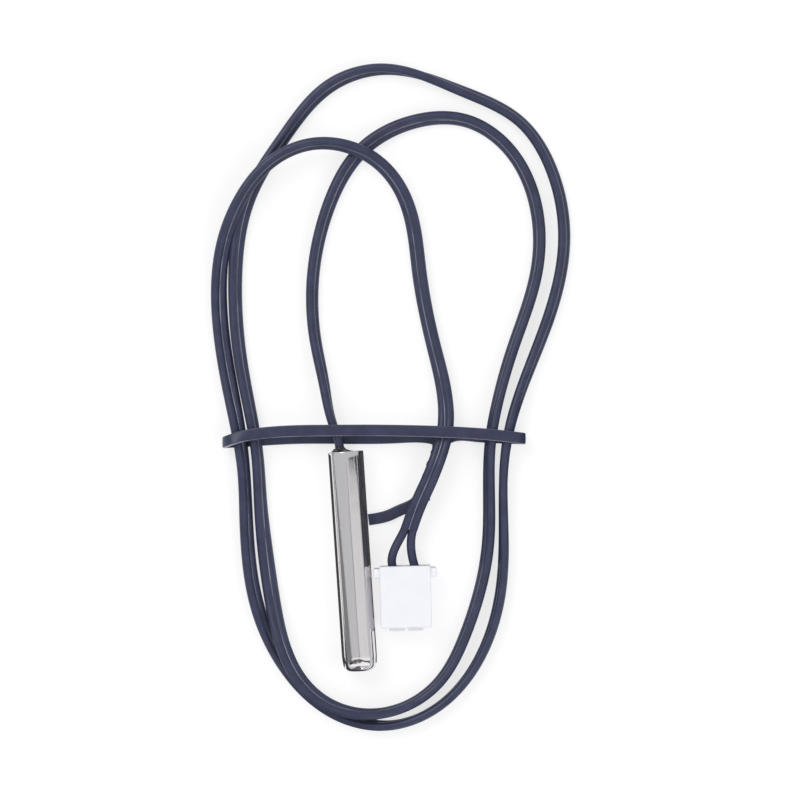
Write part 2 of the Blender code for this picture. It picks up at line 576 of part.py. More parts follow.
def tie_stations():
    """(point, thin direction) pairs along the tie, from the tip of its long end to that of its short end."""
    axis = (TWIST_END - TWIST_START).normalized()
    level = Vector((axis.y, -axis.x, 0)).normalized()
    above = level.cross(axis).normalized()
    if above.z < 0:
        above = -above
    level = axis.cross(above)
    offset = TIE_THICKNESS / 2 + GAP

    def layer(start_angle):
        found = []
        for step in range(TWIST_STEPS + 1):
            share = step / TWIST_STEPS
            angle = start_angle + math.tau * TWIST_TURNS * share
            out = above * math.cos(angle) + level * math.sin(angle)
            found.append((TWIST_START.lerp(TWIST_END, share) + out * offset, out))
        return found

    lower = layer(math.pi)
    upper = layer(0)
    loop = [lower[0][0]] + [Vector(point) * MM for point in TIE_LOOP] + [upper[0][0]]
    inside = sum((Vector(point) for point in TIE_LOOP), Vector()) / len(TIE_LOOP) * MM
    round_loop = smooth_curve(loop, TIE_SAMPLES * len(loop))[1:-1]
    long_end = smooth_curve([Vector(p) * MM for p in reversed(LONG_END)] + [lower[-1][0]], 12)[:-1]
    short_end = smooth_curve([upper[-1][0]] + [Vector(p) * MM for p in SHORT_END], 6)[1:]

    def outward(point):
        flat = Vector((point.x - inside.x, 0, point.z - inside.z))
        if abs(flat.x) < LOOP_FLAT:
            return Vector((0, 0, flat.z)).normalized()
        end = Vector((math.copysign(LOOP_FLAT, flat.x), 0, 0))
        return (flat - end).normalized()

    stations = [(point, lower[-1][1]) for point in long_end]
    stations += list(reversed(lower))
    stations += [(point, outward(point)) for point in round_loop]
    stations += [(point, -out) for point, out in upper]
    stations += [(point, -upper[-1][1]) for point in short_end]
    return stations


def make_tie(finish):
    """A flat section drawn along the stations, its thin side kept to each one's direction."""
    half = TIE_WIDTH / 2
    thin = TIE_THICKNESS / 2
    corners = ((half - TIE_EDGE, thin - TIE_EDGE, 0), (TIE_EDGE - half, thin - TIE_EDGE, 90))
    corners += ((TIE_EDGE - half, TIE_EDGE - thin, 180), (half - TIE_EDGE, TIE_EDGE - thin, 270))
    section = []
    for across, up, start in corners:
        section += arc((across, up), TIE_EDGE, start, start + 90, 2)
    stations = tie_stations()
    points = [point for point, _ in stations]
    bm = bmesh.new()
    rings = []
    for i, (point, thin_way) in enumerate(stations):
        along = (points[min(i + 1, len(points) - 1)] - points[max(i - 1, 0)]).normalized()
        up = (thin_way - along * along.dot(thin_way)).normalized()
        across = along.cross(up)
        rings.append([bm.verts.new(point + across * a + up * b) for a, b in section])
    for first, second in zip(rings, rings[1:]):
        for i in range(len(section)):
            j = (i + 1) % len(section)
            bm.faces.new((first[i], first[j], second[j], second[i]))
    bm.faces.new(rings[0])
    bm.faces.new(rings[-1])
    tie = add_mesh("cable_tie", bm, finish)
    tie.location = TIE_PLACE
    tie.rotation_euler.z = TIE_TURN
    return tie


def main():
    clear_scene()
    finishes = {
        "steel": material("polished stainless steel", (0.72, 0.70, 0.69), 0.12, 1.0),
        "resin": material("black potting resin", (0.012, 0.012, 0.016), 0.35),
        "bead": material("bead coating", (0.05, 0.05, 0.06), 0.4),
        "tinned wire": material("tinned wire", (0.72, 0.72, 0.7), 0.25, 1.0),
        "solder": material("solder", (0.62, 0.62, 0.6), 0.3, 1.0),
        "copper": material("bare copper", (0.72, 0.38, 0.22), 0.3, 1.0),
        "tubing": material("joint tubing", (0.75, 0.72, 0.62), 0.5),
        "core": material("core insulation", (0.035, 0.037, 0.05), 0.35),
        "cable": material("cable cover", (0.03, 0.032, 0.045), 0.32),
        "nylon": material("white nylon", (0.85, 0.85, 0.88), 0.4),
        "terminal": material("tinned bronze", (0.75, 0.73, 0.68), 0.25, 1.0),
        "tie": material("tie cover", (0.04, 0.042, 0.055), 0.3),
    }
    make_sleeve(finishes["steel"])
    make_resin(finishes["resin"])
    make_bead(finishes["bead"])
    make_sleeve_wiring(finishes)
    make_cable(finishes["cable"])
    make_plug_wires(finishes)
    frame = bpy.data.objects.new("plug_frame", None)
    frame.matrix_world = plug_matrix()
    bpy.context.scene.collection.objects.link(frame)
    make_plug_housing(finishes["nylon"], frame)
    make_terminals(finishes["terminal"], frame)
    make_tie(finishes["tie"])


main()
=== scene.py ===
"""The looks of the temperature probe: flat two-core lead, steel sleeve, resin, wire tie and white plug.

Metres, +Z up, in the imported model's frame. Sizes of the pieces are written in millimetres and scaled by MM.
The camera looks straight down.
"""

import math

import bmesh
import bpy
import numpy as np
from mathutils import Matrix, Vector, noise


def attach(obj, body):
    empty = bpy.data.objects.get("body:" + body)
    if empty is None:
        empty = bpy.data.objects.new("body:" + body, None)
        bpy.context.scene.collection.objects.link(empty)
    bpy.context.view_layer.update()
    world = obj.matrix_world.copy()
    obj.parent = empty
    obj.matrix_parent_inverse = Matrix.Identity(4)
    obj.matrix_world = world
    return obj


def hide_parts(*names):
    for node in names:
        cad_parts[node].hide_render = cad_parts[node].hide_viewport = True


MM = 0.001
ROOT = "root"

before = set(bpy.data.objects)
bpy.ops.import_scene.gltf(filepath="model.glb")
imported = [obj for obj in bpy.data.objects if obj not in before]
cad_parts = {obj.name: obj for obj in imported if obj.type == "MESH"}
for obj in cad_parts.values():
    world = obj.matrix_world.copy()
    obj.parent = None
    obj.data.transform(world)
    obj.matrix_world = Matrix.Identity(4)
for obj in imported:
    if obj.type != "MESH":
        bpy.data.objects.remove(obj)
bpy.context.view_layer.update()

# Sizes of the sleeve, as in the solids
SLEEVE_RADIUS = 2.0
SLEEVE_WALL = 0.25
MOUTH_Y = 12.0
TIP_Y = -13.0
AXIS_Z = 2.0

# The camera's turn to the sleeve, and how wide its picture is at its reach
PICTURE_TURN = math.radians(3.886)
PICTURE_WIDTH = 91.0
CAMERA_REACH = 450.0
CAMERA_PLACE = Vector((6.567, 17.42, 452.0)) * MM
CAMERA_SENSOR = 36.0
CAMERA_LENS = CAMERA_SENSOR * CAMERA_REACH / PICTURE_WIDTH


def make_camera():
    data = bpy.data.cameras.new("camera")
    data.sensor_width = CAMERA_SENSOR
    data.lens = CAMERA_LENS
    data.clip_start = 0.01
    data.clip_end = 20.0
    camera = bpy.data.objects.new("camera", data)
    camera.location = CAMERA_PLACE
    camera.rotation_euler = (0, 0, -PICTURE_TURN)
    bpy.context.scene.collection.objects.link(camera)
    bpy.context.scene.camera = camera


# Small helpers


def add(name, mesh, finish, replaced):
    """An object that rides on the part's body, with its material. The solid that it stands for is hidden."""
    made = bpy.data.objects.new(name, mesh)
    bpy.context.scene.collection.objects.link(made)
    mesh.materials.append(finish)
    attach(made, ROOT)
    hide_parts(replaced)
    return made


def mesh_from(name, bm, angle):
    """A smooth mesh that stays sharp where its faces meet at more than the angle."""
    bmesh.ops.recalc_face_normals(bm, faces=bm.faces)
    mesh = bpy.data.meshes.new(name)
    bm.to_mesh(mesh)
    bm.free()
    mesh.shade_smooth()
    mesh.set_sharp_from_angle(angle=math.radians(angle))
    return mesh


def spline(points, per_span):
    """Closely spaced points on the natural cubic spline through the given rows of numbers."""
    given = np.array(points, float)
    spans = np.linalg.norm(np.diff(given[:, :3], axis=0), axis=1)
    last = len(given) - 1
    matrix = np.eye(last + 1)
    right = np.zeros_like(given)
    for i in range(1, last):
        matrix[i, i - 1] = spans[i - 1]
        matrix[i, i] = 2 * (spans[i - 1] + spans[i])
        matrix[i, i + 1] = spans[i]
        right[i] = 6 * ((given[i + 1] - given[i]) / spans[i] - (given[i] - given[i - 1]) / spans[i - 1])
    bend = np.linalg.solve(matrix, right)
    found = []
    for at in np.linspace(0, last, last * per_span + 1):
        i = min(int(at), last - 1)
        b = at - i
        a = 1 - b
        curved = (a**3 - a) * bend[i] + (b**3 - b) * bend[i + 1]
        found.append(a * given[i] + b * given[i + 1] + curved * spans[i] ** 2 / 6)
    return np.array(found)


def evenly(rows, step):
    """Rows of numbers, their first three a place, read at even steps along their path."""
    lengths = np.linalg.norm(np.diff(rows[:, :3], axis=0), axis=1)
    reached = np.concatenate([[0], np.cumsum(lengths)])
    wanted = np.linspace(0, reached[-1], int(round(reached[-1] / step)) + 1)
    return np.array([np.interp(wanted, reached, column) for column in rows.T]).T


def skin(name, rings, angle, glint_mask=None):
    """A closed mesh through rings of equally many points, and a mask value for each point of a ring, where a
    painted highlight goes.
    """
    bm = bmesh.new()
    rows = [[bm.verts.new(point) for point in ring] for ring in rings]
    size = len(rows[0])
    for first, second in zip(rows, rows[1:]):
        for i in range(size):
            j = (i + 1) % size
            bm.faces.new((first[i], first[j], second[j], second[i]))
    bm.faces.new(rows[0])
    bm.faces.new(rows[-1])
    mesh = mesh_from(name, bm, angle)
    if glint_mask:
        layer = mesh.attributes.new("glint_mask", "FLOAT", "POINT")
        layer.data.foreach_set("value", np.tile(np.array(glint_mask, np.float32), len(rings)))
    return mesh


def arc(centre, radius, start, end, steps):
    """Points in a plane on an arc, its angles in degrees."""
    turns = np.radians(np.linspace(start, end, steps + 1))
    return [(centre[0] + radius * math.cos(a), centre[1] + radius * math.sin(a)) for a in turns]


def unit(way):
    return way / np.linalg.norm(way)


def directions(points):
    """Unit tangents along a list of places."""
    ways = np.gradient(points, axis=0)
    return ways / np.linalg.norm(ways, axis=1)[:, None]


def side_and_up(way):
    """The level direction at right angles to a way, and the one at right angles to both."""
    side = unit(np.cross((0, 0, 1), way))
    return side, np.cross(way, side)


# Materials


class Finish:
    """A Principled material with its procedural nodes."""

    # The colour sockets of a Mix node, whose names its other sockets share
    MIX_SHARE = 0
    MIX_FIRST = 6
    MIX_SECOND = 7
    MIX_RESULT = 2

    def __init__(self, name, colour, roughness, metallic=0.0, **values):
        self.material = bpy.data.materials.new(name)
        self.material.use_nodes = True
        self.tree = self.material.node_tree
        self.shader = self.tree.nodes["Principled BSDF"]
        self.set("Base Color", (*colour, 1))
        self.set("Roughness", roughness)
        self.set("Metallic", metallic)
        for key, value in values.items():
            self.set(key.replace("_", " "), value)
        self.material.diffuse_color = (*colour, 1)
        self.place = self.node("ShaderNodeTexCoord").outputs["Object"]
        self.height = None

    def set(self, key, value):
        self.shader.inputs[key].default_value = value

    def node(self, kind, **settings):
        made = self.tree.nodes.new(kind)
        for key, value in settings.items():
            setattr(made, key, value)
        return made

    def link(self, source, target):
        self.tree.links.new(source, target)

    def noise(self, size, detail=3.0, roughness=0.5):
        """Noise whose cells are about this many metres, or this many along each axis."""
        made = self.node("ShaderNodeTexNoise")
        made.inputs["Detail"].default_value = detail
        made.inputs["Roughness"].default_value = roughness
        if isinstance(size, tuple):
            mapping = self.node("ShaderNodeMapping")
            mapping.inputs["Scale"].default_value = [1 / s for s in size]
            self.link(self.place, mapping.inputs["Vector"])
            self.link(mapping.outputs["Vector"], made.inputs["Vector"])
            made.inputs["Scale"].default_value = 1.0
        else:
            self.link(self.place, made.inputs["Vector"])
            made.inputs["Scale"].default_value = 1 / size
        return made.outputs["Fac"]

    def attribute(self, name):
        return self.node("ShaderNodeAttribute", attribute_name=name).outputs["Fac"]

    def ramp(self, value, low, high, start=0.3, end=0.7):
        """A colour that runs from low to high while the value goes from start to end."""
        made = self.node("ShaderNodeValToRGB")
        self.link(value, made.inputs["Fac"])
        for element, position, colour in zip(made.color_ramp.elements, (start, end), (low, high)):
            element.position = position
            element.color = (*colour, 1)
        return made.outputs["Color"]

    def product(self, first, second):
        made = self.node("ShaderNodeMath", operation="MULTIPLY")
        self.link(first, made.inputs[0])
        self.link(second, made.inputs[1])
        return made.outputs[0]

    def towards(self, tone, share, colour):
        """The tone, drawn by a share towards one colour."""
        made = self.node("ShaderNodeMix", data_type="RGBA")
        self.link(share, made.inputs[self.MIX_SHARE])
        self.link(tone, made.inputs[self.MIX_FIRST])
        made.inputs[self.MIX_SECOND].default_value = (*colour, 1)
        return made.outputs[self.MIX_RESULT]

    def colour(self, source):
        self.link(source, self.shader.inputs["Base Color"])

    def rough(self, value, low, high):
        made = self.node("ShaderNodeMapRange")
        self.link(value, made.inputs["Value"])
        made.inputs["To Min"].default_value = low
        made.inputs["To Max"].default_value = high
        self.link(made.outputs["Result"], self.shader.inputs["Roughness"])

    def bump(self, value, distance, strength):
        made = self.node("ShaderNodeBump")
        made.inputs["Distance"].default_value = distance
        made.inputs["Strength"].default_value = strength
        self.link(value, made.inputs["Height"])
        if self.height:
            self.link(self.height, made.inputs["Normal"])
        self.height = made.outputs["Normal"]
        self.link(self.height, self.shader.inputs["Normal"])


def pvc(name, base, painted_glint, roughness):
    """Soft dark PVC: cloudy and finely grained, with a painted highlight that is paler where the mesh's glint
    mask is high.
    """
    made = Finish(name, base, roughness, Specular_IOR_Level=0.4)
    darker = [c * 0.82 for c in base]
    lighter = [c * 1.16 for c in base]
    tone = made.ramp(made.noise(1.5 * MM, 4.0), darker, lighter)
    # The painted highlight line comes and goes along its length
    broken = made.ramp(made.noise(3.5 * MM, 3.0), [0.25] * 3, [1.0] * 3, start=0.36, end=0.56)
    line = made.product(made.attribute("glint_mask"), broken)
    made.colour(made.towards(tone, line, painted_glint))
    made.rough(made.noise(0.35 * MM, 5.0), roughness - 0.07, roughness + 0.09)
    made.bump(made.noise(0.12 * MM, 4.0), 0.004 * MM, 0.6)
    made.bump(made.noise(1.1 * MM, 2.0), 0.03 * MM, 0.5)
    return made.material


def steel(name):
    """Drawn, polished steel: fine marks along the sleeve, and reflections that waver a little."""
    made = Finish(name, (0.80, 0.775, 0.785), 0.1, metallic=1.0)
    marks = made.noise((0.05 * MM, 6.0 * MM, 0.05 * MM), 4.0, roughness=0.6)
    made.colour(made.ramp(marks, (0.76, 0.735, 0.745), (0.84, 0.815, 0.83)))
    made.rough(made.noise((0.12 * MM, 3.0 * MM, 0.12 * MM), 3.0), 0.06, 0.14)
    made.bump(marks, 0.0016 * MM, 0.5)
    made.bump(made.noise(2.2 * MM, 2.0), 0.02 * MM, 0.4)
    return made.material


def nylon(name):
    """White moulded nylon, satin, into which the light reaches a little way."""
    made = Finish(name, (0.91, 0.91, 0.965), 0.42, Subsurface_Weight=0.12)
    made.set("Subsurface Radius", (1.0, 1.0, 1.0))
    made.set("Subsurface Scale", 0.25 * MM)
    made.colour(made.ramp(made.noise(1.8 * MM, 3.0), (0.895, 0.895, 0.955), (0.925, 0.925, 0.975)))
    made.rough(made.noise(0.3 * MM, 4.0), 0.36, 0.5)
    made.bump(made.noise(0.1 * MM, 3.0), 0.004 * MM, 0.5)
    return made.material


def plain(name, low, high, roughness, metallic=0.0, size=0.4 * MM, bump=0.004 * MM):
    """A finish whose colour runs from low to high in fine clouds, with a slight grain."""
    middle = [(a + b) / 2 for a, b in zip(low, high)]
    made = Finish(name, middle, roughness, metallic)
    made.colour(made.ramp(made.noise(size, 4.0), low, high))
    made.rough(made.noise(size / 2, 3.0), roughness * 0.8, roughness * 1.25)
    made.bump(made.noise(size / 3, 3.0), bump, 0.6)
    return made.material


# The flat lead and its cores

# The lead's points, as in the solids: millimetres, and the roll of the flat pair in degrees, 0 lying flat
# and 90 standing on its edge. The first four lie in the sleeve and its mouth.
CABLE_START = ((0.0, 6.0, 2.0, 90), (-0.3, 9.0, 2.0, 90), (-0.6, 12.0, 2.0, 90), (-0.7, 13.0, 2.0, 90))
CABLE_ROUTE = (
    (-1.3, 15.4, 1.95, 88), (-1.95, 20.0, 1.5, 74), (-2.6, 25.0, 0.95, 66), (-2.5, 31.15, 0.8, 62),
    (-0.03, 40.05, 0.8, 54), (4.22, 46.18, 0.8, 40), (10.31, 48.97, 0.8, 50), (16.31, 48.65, 0.81, 59),
    (20.9, 45.09, 0.86, 61), (23.45, 38.86, 0.9, 60), (23.16, 31.27, 0.9, 61), (19.85, 22.56, 0.99, 65),
    (17.59, 16.3, 1.37, 70), (16.5, 11.88, 1.52, 72), (16.0, 6.76, 1.1, 67), (15.46, 0.35, 0.9, 63),
    (12.22, -9.68, 0.83, 68), (8.68, -15.1, 0.81, 73), (5.47, -17.2, 0.98, 78), (2.21, -17.98, 1.64, 77),
    (-1.13, -17.72, 2.28, 66), (-4.45, -16.22, 2.42, 49), (-7.41, -12.76, 2.4, 40),
    (-8.74, -9.04, 2.05, 36), (-9.45, -4.67, 1.26, 27), (-9.84, -0.12, 0.95, 29),
    (-10.08, 7.07, 1.03, 56), (-10.07, 12.41, 1.42, 64), (-10.49, 16.84, 1.4, 62),
    (-11.26, 23.32, 1.05, 54), (-11.24, 32.45, 0.99, 49), (-9.27, 41.25, 0.91, 40),
    (-4.55, 48.26, 0.8, 56), (1.26, 53.84, 0.8, 52), (7.27, 55.17, 0.8, 72), (15.8, 52.18, 0.8, 111),
    (22.4, 48.14, 0.82, 114), (25.72, 41.99, 0.84, 118), (26.46, 34.18, 0.9, 120),
    (24.13, 25.67, 0.9, 119), (20.83, 18.52, 1.06, 112), (18.92, 13.73, 1.49, 103),
    (17.97, 9.7, 1.36, 95), (17.46, 4.08, 1.0, 87), (16.65, -4.56, 0.9, 74), (13.46, -12.81, 0.83, 80),
    (8.81, -17.62, 0.8, 88), (2.76, -19.51, 0.8, 83), (-3.02, -17.74, 0.8, 50), (-8.27, -12.37, 0.8, 43),
    (-11.14, -5.43, 0.88, 46), (-11.84, 5.1, 0.99, 53), (-11.75, 11.13, 1.28, 57),
    (-12.08, 15.57, 1.47, 39), (-12.83, 21.53, 1.12, 17), (-13.28, 29.14, 1.0, 17),
    (-12.88, 33.83, 1.21, 30), (-11.8, 37.83, 1.93, 47), (-9.9, 41.53, 2.39, 58), (-6.48, 45.22, 2.5, 63),
    (-1.44, 47.11, 2.51, 64), (2.8, 46.45, 2.54, 58), (5.75, 44.7, 2.17, 51), (8.01, 41.82, 1.4, 46),
    (9.23, 38.19, 0.96, 42), (9.75, 31.91, 0.85, 40), (10.84, 23.17, 0.95, 41), (11.66, 17.76, 1.35, 32),
    (11.4, 13.4, 2.0, 20), (10.3, 10.3, 2.65, 20), (9.1, 7.8, 2.65, 18), (7.7, 5.2, 2.5, 10),
    (6.6, 2.7, 2.15, 0),
)
CABLE_SPAN_POINTS = 16
CABLE_STEP = 0.45
# Radius of the solids' round tube, and the section of the flat pair: two ribs and the web between them
TUBE_RADIUS = 0.775
RIB_RADIUS = 0.5
RIB_OFFSET = 0.45
RIB_STEPS = 36
WEB_HALF = 0.3
# Each rib's round runs on this many degrees into the web. There its points this near to the middle, and lower
# than the limit, lie on the web's face.
WEB_OVERLAP = 12
WEB_REACH = 0.09
WEB_LIMIT = WEB_HALF + 0.02
WEB_FACE = WEB_LIMIT * 0.98
# A painted highlight: the pale line in the groove between the ribs, where a glint falls
LINE_WIDTH = 0.045
# Over this length from the mouth the lead leaves the tube's middle, and past this Y it has left it
LEAVE_LENGTH = 6.0
LEAVE_END_Y = 24.0
# The lead's width varies by this share, slowly
SWELL = 0.012
SWELL_LENGTH = 7.0
SWELL_ROW = 3.1


def pair_profile():
    """(across, up, line) points round the flat pair. Line, the mask of the painted highlight, falls from 1 in
    the groove to 0 on the ribs.
    """
    start = math.degrees(math.asin(WEB_HALF / RIB_RADIUS)) - WEB_OVERLAP
    found = []
    for side in (1, -1):
        for angle in np.radians(np.linspace(-180 + start, 180 - start, RIB_STEPS + 1)):
            across = side * (RIB_OFFSET + RIB_RADIUS * math.cos(angle))
            up = side * RIB_RADIUS * math.sin(angle)
            if abs(across) < WEB_REACH and abs(up) < WEB_LIMIT:
                up = math.copysign(WEB_FACE, up)
            found.append((across, up, math.exp(-((across / LINE_WIDTH) ** 2))))
    return found


def cable_rows():
    """The route at even steps. Past the mouth, the flat pair's underside lies where the round tube's does."""
    rows = evenly(spline([*CABLE_START, *CABLE_ROUTE], CABLE_SPAN_POINTS), CABLE_STEP)
    half_height = RIB_OFFSET * np.abs(np.sin(np.radians(rows[:, 3]))) + RIB_RADIUS
    out = np.clip((rows[:, 1] - MOUTH_Y) / LEAVE_LENGTH, 0, 1)
    first = int(np.argmax(rows[:, 1] > LEAVE_END_Y))
    share = np.ones(len(rows))
    share[:first] = out[:first] ** 2 * (3 - 2 * out[:first])
    rows[:, 2] += share * (half_height - TUBE_RADIUS)
    return rows


def make_cable(finish):
    """The flat lead, with the places in metres and the rolls in radians that it follows."""
    rows = cable_rows()
    points = rows[:, :3]
    rolls = np.radians(rows[:, 3])
    profile = pair_profile()
    rings = []
    for i, (point, way, roll) in enumerate(zip(points, directions(points), rolls)):
        side, up = side_and_up(way)
        wide = math.cos(roll) * side + math.sin(roll) * up
        thick = -math.sin(roll) * side + math.cos(roll) * up
        swell = 1 + SWELL * noise.noise(Vector((CABLE_STEP * i / SWELL_LENGTH, SWELL_ROW, 0)))
        rings.append([(point + swell * (wide * a + thick * b)) * MM for a, b, _ in profile])
    # The lead's mask carries the painted highlight in its groove
    mesh = skin("cable", rings, angle=80, glint_mask=[line for _, _, line in profile])
    return add("flat_lead", mesh, finish, "cable"), points * MM, rolls


# The two insulated cores from the split in the lead to their barrels in the plug, in the plug's frame
PLUG_PLACE = (5.7, -4.9)
PLUG_TURN = math.radians(-2.4)
CORE_WAYS = {"a": -1.25, "b": 1.25}
CORE_LEAN = -0.2
CORE_FACE_Y = 3.6
CORE_GRIP_Y = 2.8
CORE_STOP_Y = 1.65
CORE_Z = 1.9
CORE_RADIUS = 0.49
CORE_SIDES = 24
CORE_SPAN_POINTS = 30
CORE_STEP = 0.16
# Rings of a core's rounded end: how far in they lie and how wide they are, as shares of its radius
CORE_END = ((0, 0.55), (0.12, 0.86), (0.3, 1.0))
# How far back into the lead a core reaches, and how far past the lead's end it runs straight
SPLIT_LENGTH = 2.4
SPLIT_STRAIGHT = 0.1


def round_tube(name, points, radius):
    """A tube with rounded ends along closely spaced points in millimetres."""
    along = directions(points)
    places = [(points[0] + along[0] * radius * reach, along[0], share) for reach, share in CORE_END]
    places += [(point, way, 1.0) for point, way in zip(points[2:-2], along[2:-2])]
    for reach, share in reversed(CORE_END):
        places.append((points[-1] - along[-1] * radius * reach, along[-1], share))
    turns = np.linspace(0, math.tau, CORE_SIDES, endpoint=False)
    rings = []
    for point, way, share in places:
        side, up = side_and_up(way)
        rings.append([(point + radius * share * (math.cos(a) * side + math.sin(a) * up)) * MM for a in turns])
    return skin(name, rings, angle=50)


def in_plug(x, y):
    turned = Matrix.Rotation(PLUG_TURN, 3, "Z") @ Vector((x, y, 0))
    return np.array((PLUG_PLACE[0] + turned.x, PLUG_PLACE[1] + turned.y, CORE_Z))


def make_cores(finish, path):
    """Each core runs on from its own half of the lead, which is torn apart along its web, to the plug."""
    end = path[-1]
    way = unit(end - path[-4])
    side = unit(np.array((-way[1], way[0], 0)))
    for name, x in CORE_WAYS.items():
        across = (side if x > 0 else -side) * RIB_OFFSET
        start = end - way * SPLIT_LENGTH + across
        leave = end + across + way * SPLIT_STRAIGHT
        route = [start, (start + leave) / 2, leave, in_plug(x + CORE_LEAN, CORE_FACE_Y)]
        route += [in_plug(x, CORE_GRIP_Y), in_plug(x, CORE_STOP_Y)]
        mesh = round_tube(f"core_{name}", evenly(spline(route, CORE_SPAN_POINTS), CORE_STEP), CORE_RADIUS)
        add(f"core_{name}", mesh, finish, f"plug_core_{name}")


# The steel sleeve and its resin

SLEEVE_SIDES = 160
# The tip's rolled corner, and the length and angle over which the wall eases in towards it
TIP_BEND = 0.75
EASE_LENGTH = 1.38
EASE_ANGLE = 10.0
EASE_STEPS = 16
# The straight wall: how far from the tip and from the mouth it begins and ends
WALL_START = 2.6
WALL_END = 0.9
WALL_RINGS = 12
RIM_OUTER = 0.08
RIM_INNER = 0.06
BORE_BEND = 0.45
# The draw's ripple lies on the outer skin below the rim. It is finer and deeper in a belt above the tip.
RIPPLE_SKIN = 0.2
RIPPLE_RIM = 0.3
RIPPLE_STRETCH = 0.35
RIPPLE_DEPTH = 0.004
RIPPLE_RATE = 2.2
BELT_DEPTH = 0.010
BELT_RATE = 4.0
BELT_HEIGHT = 1.2
BELT_REACH = 0.5


def drawn(radius, y, turn):
    """The radius of the sleeve's wall with the ripple that its deep drawing left."""
    if radius < SLEEVE_RADIUS - RIPPLE_SKIN or y > MOUTH_Y - RIPPLE_RIM:
        return radius
    place = Vector((math.cos(turn), math.sin(turn), RIPPLE_STRETCH * y))
    belt = BELT_DEPTH * math.exp(-(((y - TIP_Y - BELT_HEIGHT) / BELT_REACH) ** 2))
    ripple = RIPPLE_DEPTH * noise.noise(place * RIPPLE_RATE) + belt * noise.noise(place * BELT_RATE)
    return radius + ripple


def sleeve_profile():
    """(radius, y) points from the middle of the tip up the outside, over the rim and down the bore."""
    lean = math.radians(EASE_ANGLE)
    neck_y = TIP_Y + TIP_BEND * (1 - math.sin(lean))
    neck_radius = SLEEVE_RADIUS - lean * EASE_LENGTH / 2
    corner = (neck_radius - TIP_BEND * math.cos(lean), TIP_Y + TIP_BEND)
    found = [(0, TIP_Y), (corner[0] / 2, TIP_Y)]
    found += arc(corner, TIP_BEND, -90, -EASE_ANGLE, steps=12)[:-1]
    for share in np.linspace(1, 0, EASE_STEPS + 1):
        found.append((SLEEVE_RADIUS - lean * share**2 * EASE_LENGTH / 2, neck_y + EASE_LENGTH * (1 - share)))
    found += [(SLEEVE_RADIUS, y) for y in np.linspace(TIP_Y + WALL_START, MOUTH_Y - WALL_END, WALL_RINGS)]
    found += arc((SLEEVE_RADIUS - RIM_OUTER, MOUTH_Y - RIM_OUTER), RIM_OUTER, 0, 90, steps=4)
    bore = SLEEVE_RADIUS - SLEEVE_WALL
    floor_y = TIP_Y + SLEEVE_WALL
    found += arc((bore + RIM_INNER, MOUTH_Y - RIM_INNER), RIM_INNER, 90, 180, steps=3)
    found += arc((bore - BORE_BEND, floor_y + BORE_BEND), BORE_BEND, 0, -90, steps=6)
    return [*found, (0, floor_y)]


def make_sleeve(finish):
    """Deep-drawn tube, turned about its own axis. A ring of no radius is one point."""
    bm = bmesh.new()
    rings = []
    for radius, y in sleeve_profile():
        ring = []
        for k in range(SLEEVE_SIDES if radius > 0 else 1):
            turn = math.tau * k / SLEEVE_SIDES
            grown = drawn(radius, y, turn)
            place = Vector((grown * math.cos(turn), y, AXIS_Z + grown * math.sin(turn)))
            ring.append(bm.verts.new(place * MM))
        rings.append(ring)
    for first, second in zip(rings, rings[1:]):
        for k in range(SLEEVE_SIDES):
            j = (k + 1) % SLEEVE_SIDES
            corners = [first[k % len(first)], first[j % len(first)]]
            corners += [second[j % len(second)], second[k % len(second)]]
            bm.faces.new(list(dict.fromkeys(corners)))
    add("sleeve", mesh_from("sleeve", bm, angle=35), finish, "sensor_sleeve")


# How high the resin climbs the lead, and how much higher on the side where the wall is near
RESIN_CLIMB = 0.85
RESIN_SIDE = 0.3
RESIN_START_Y = MOUTH_Y - 0.12
RESIN_RINGS = 12
RESIN_RADIUS = SLEEVE_RADIUS - SLEEVE_WALL - 0.03
# Rings below the climb: their y and the share of the resin's radius that they reach
RESIN_FILL = ((TIP_Y + 0.3, 0.75), (TIP_Y + 0.6, 0.97), (MOUTH_Y - 0.6, 1.0))
# The resin's edge lies on the lead as if the lead were this much wider
RESIN_WETTING = 1.02
# The lead passes the mouth within this many of its points
MOUTH_POINTS = 60


def make_potting(finish, path, rolls):
    """Resin that fills the sleeve and is drawn up the lead where it leaves."""
    profile = pair_profile()
    levels = [(y, size, 0.0) for y, size in RESIN_FILL]
    for rise in np.linspace(0, 1, RESIN_RINGS + 1):
        levels.append((RESIN_START_Y + RESIN_CLIMB * rise, 1.0, 1 - (1 - rise) ** 3))
    rings = []
    for y, size, share in levels:
        i = int(np.argmin(np.abs(path[:MOUTH_POINTS, 1] - max(y, MOUTH_Y))))
        wide = np.array((math.cos(rolls[i]), 0, math.sin(rolls[i])))
        thick = np.array((-math.sin(rolls[i]), 0, math.cos(rolls[i])))
        ring = []
        for a, b, _ in profile:
            outline = RESIN_WETTING * (a * wide + b * thick)
            way = unit(outline)
            on_wall = np.array((0, 0, AXIS_Z)) + RESIN_RADIUS * size * way
            on_lead = np.array((path[i][0], 0, path[i][2])) + outline
            place = on_wall * (1 - share) + on_lead * share
            place[1] = y + RESIN_SIDE * max(0.0, -way[0]) * 4 * share * (1 - share)
            ring.append(place * MM)
        rings.append(ring)
    add("potting", skin("potting", rings, angle=60), finish, "potting_resin")


# The wire tie

